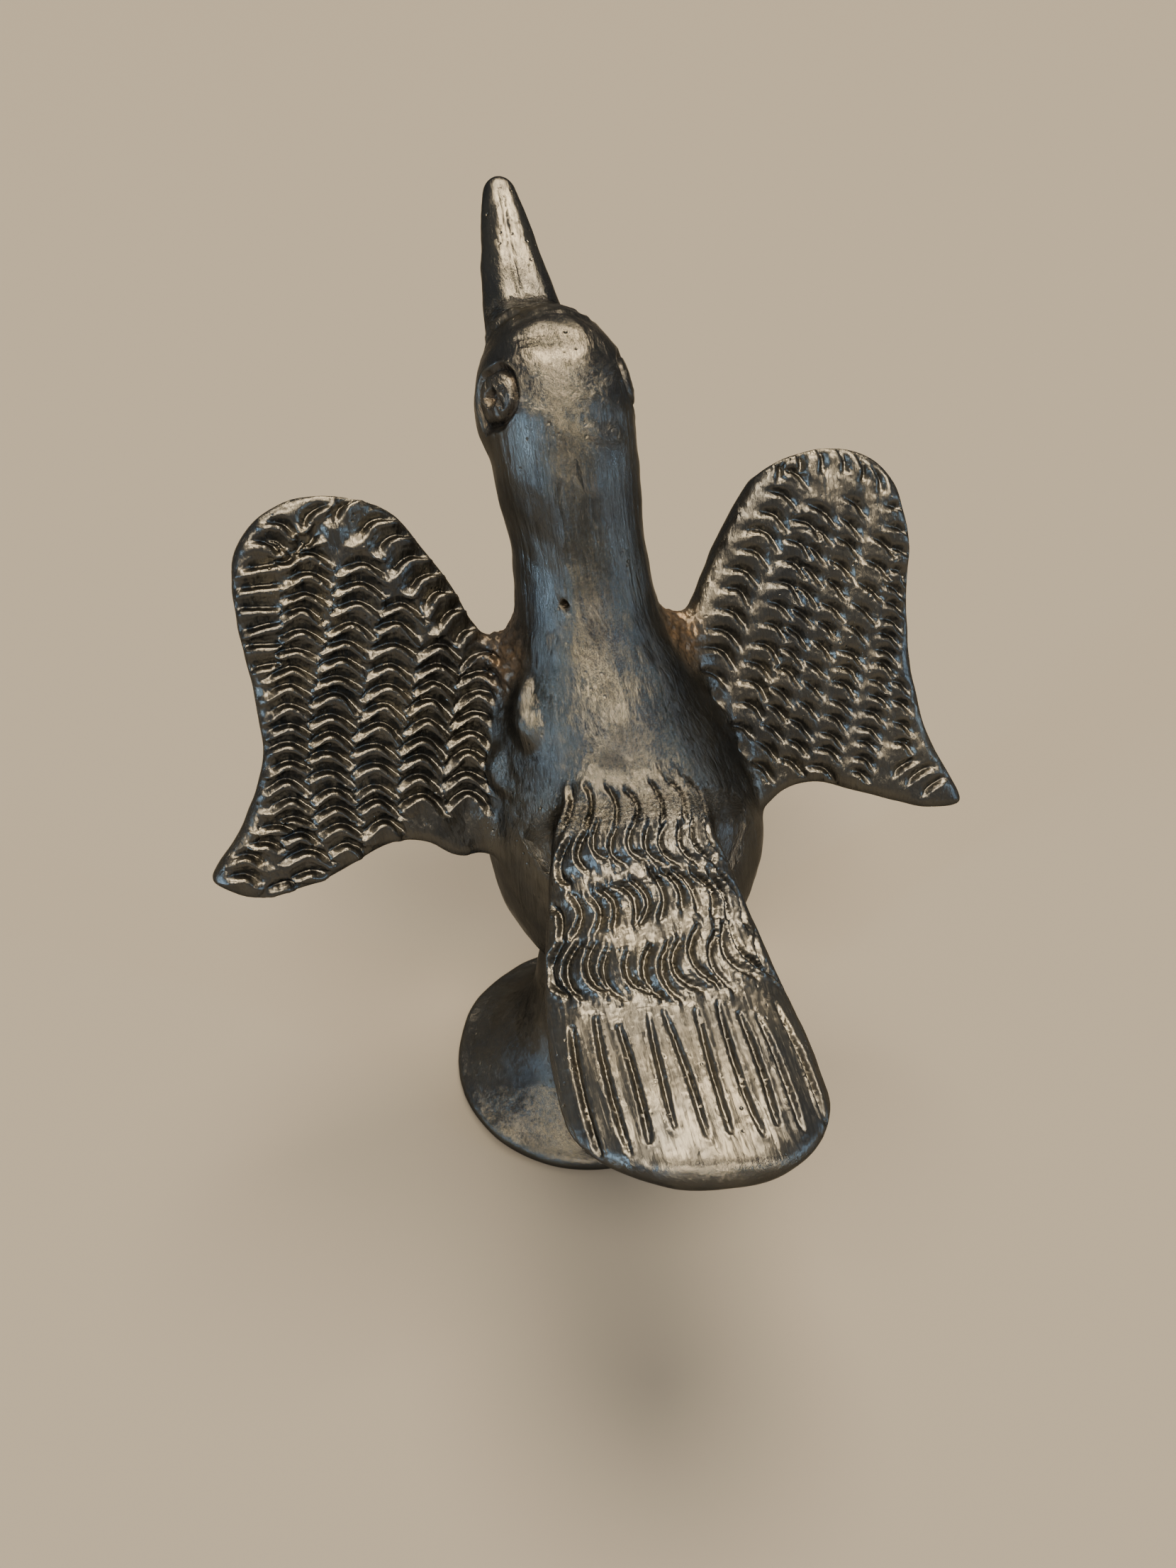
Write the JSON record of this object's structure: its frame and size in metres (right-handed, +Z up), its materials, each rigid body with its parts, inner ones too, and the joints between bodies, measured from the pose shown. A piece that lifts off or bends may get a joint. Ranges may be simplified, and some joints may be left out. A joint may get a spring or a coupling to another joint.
{
  "type": "clay bird figurine",
  "caption": "Hand-modelled bird of burnished black clay with raised beak, spread scaled wings and a broad fluted tail, on a flared round foot.",
  "frame": {"origin": "centre of the foot's flat underside", "axes": "+Z up through the foot, -Y towards the beak, +X towards the bird's left wing, +Y towards the tail"},
  "size_m": [0.122, 0.1189, 0.1582],
  "materials": {
    "black_clay": "burnished black clay, fired in smoke, dark graphite with a semi-metallic sheen and brown dust in its hollows"
  },
  "bodies": {
    "root": {"bird": "black_clay"}
  },
  "joints": []
}
